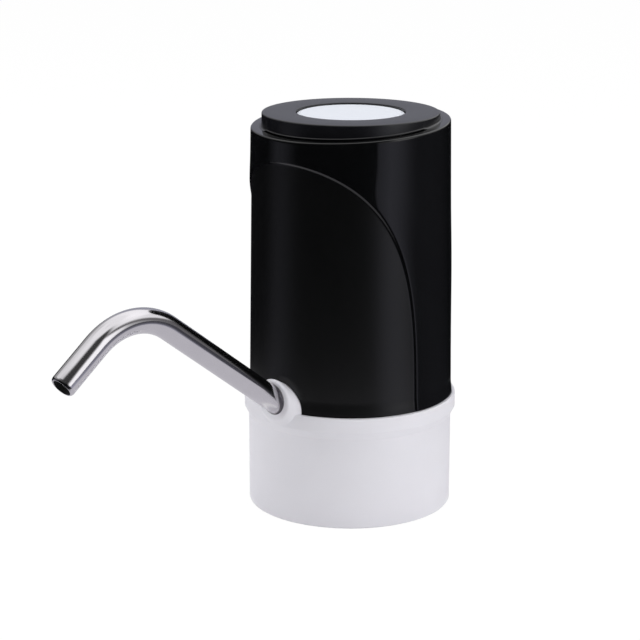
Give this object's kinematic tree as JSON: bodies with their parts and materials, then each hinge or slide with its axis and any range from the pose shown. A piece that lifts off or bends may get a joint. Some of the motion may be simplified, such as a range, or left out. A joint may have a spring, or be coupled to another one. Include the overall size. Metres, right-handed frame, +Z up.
{
  "type": "water bottle pump",
  "caption": "Rechargeable pump for a large bottle's neck: white collar, tapering black body with an arched panel, push button in the lid and a bent steel spout that swivels.",
  "frame": {"origin": "on the pump's axis, in the plane of the base's bottom rim, at the mouth of the bottle neck socket", "axes": "+Z up along the pump's axis, -Y to the front where the spout points, +X to the right as seen from the front"},
  "size_m": [0.0712, 0.162, 0.1327],
  "materials": {
    "white_plastic": "satin white moulding",
    "black_plastic": "polished black moulding",
    "lid_plastic": "fine matte dark moulding",
    "bright_plate": "satin bright plate",
    "inner_plastic": "plain dark moulding",
    "steel_tube": "polished stainless steel",
    "soft_rubber": "soft black rubber",
    "clear_silicone": "milky silicone",
    "green_board": "green lacquer",
    "black_chip": "moulded black",
    "switch_button": "moulded red",
    "socket_steel": "stamped tinned steel",
    "light_window": "clear moulding",
    "screw_steel": "zinc-plated steel",
    "battery_wrap": "shrunk plastic sleeve",
    "nickel_strip": "nickel strip",
    "wire_sleeve": "insulated wire",
    "motor_steel": "plated steel",
    "bush_brass": "sintered bush",
    "magnet": "ferrite",
    "rotor_steel": "stacked steel sheet",
    "copper": "enamelled copper",
    "pump_plastic": "natural acetal"
  },
  "bodies": {
    "pump_frame": {"base_collar": "white_plastic", "neck_insert": "white_plastic", "upper_housing": "black_plastic", "top_lid": "lid_plastic", "chassis": "inner_plastic", "motor_endcap": "inner_plastic", "inlet_nipple": "inner_plastic", "nipple_nut": "inner_plastic", "neck_gasket": "soft_rubber", "nipple_seal": "soft_rubber", "spout_o_ring": "soft_rubber", "pump_gasket": "soft_rubber", "shaft_seal": "soft_rubber", "inlet_hose": "clear_silicone", "outlet_elbow": "clear_silicone", "circuit_board": "green_board", "board_chips": "black_chip", "switch_body": "black_chip", "usb_socket": "socket_steel", "charge_led": "light_window", "led_window": "light_window", "board_screws": "screw_steel", "pump_screws": "screw_steel", "motor_screws": "screw_steel", "housing_screws": "screw_steel", "battery_cell": "battery_wrap", "battery_tabs": "nickel_strip", "motor_terminals": "nickel_strip", "battery_leads": "wire_sleeve", "motor_leads": "wire_sleeve", "motor_can": "motor_steel", "driven_gear_pin": "motor_steel", "motor_bearings": "bush_brass", "motor_magnets": "magnet", "pump_body": "pump_plastic", "pump_cover": "pump_plastic"},
    "spout": {"spout_tube": "steel_tube"},
    "button": {"button_cap": "inner_plastic", "button_disc": "bright_plate"},
    "switch": {"switch_plunger": "switch_button"},
    "rotor": {"motor_shaft": "motor_steel", "rotor_core": "rotor_steel", "rotor_windings": "copper", "commutator": "copper", "drive_gear": "pump_plastic"},
    "idler": {"driven_gear": "pump_plastic"}
  },
  "joints": [
    {"name": "spout_swivel", "type": "hinge", "parent": "pump_frame", "child": "spout", "pos_m": [0, -0.035, 0.0408], "axis": [0, -0.8064, 0.5913], "range_deg": [-90, 90]},
    {"name": "button_press", "type": "slide", "parent": "pump_frame", "child": "button", "axis": [0, 0, -1], "range_m": [0, 0.001], "stiffness_N_per_m": 800, "springref_m": -0.001},
    {"name": "switch_press", "type": "slide", "parent": "pump_frame", "child": "switch", "axis": [0, 0, -1], "range_m": [0, 0.001]},
    {"name": "rotor_spin", "type": "hinge", "parent": "pump_frame", "child": "rotor", "pos_m": [-0.005, -0.0065, 0.05], "axis": [0, 0, 1], "continuous": true},
    {"name": "driven_gear_spin", "type": "hinge", "parent": "pump_frame", "child": "idler", "pos_m": [0.005, -0.0065, 0.05], "axis": [0, 0, 1], "continuous": true}
  ],
  "couplings": [
    {"joint": "switch_press", "follows": "button_press", "ratio": 1},
    {"joint": "driven_gear_spin", "follows": "rotor_spin", "ratio": -1}
  ]
}
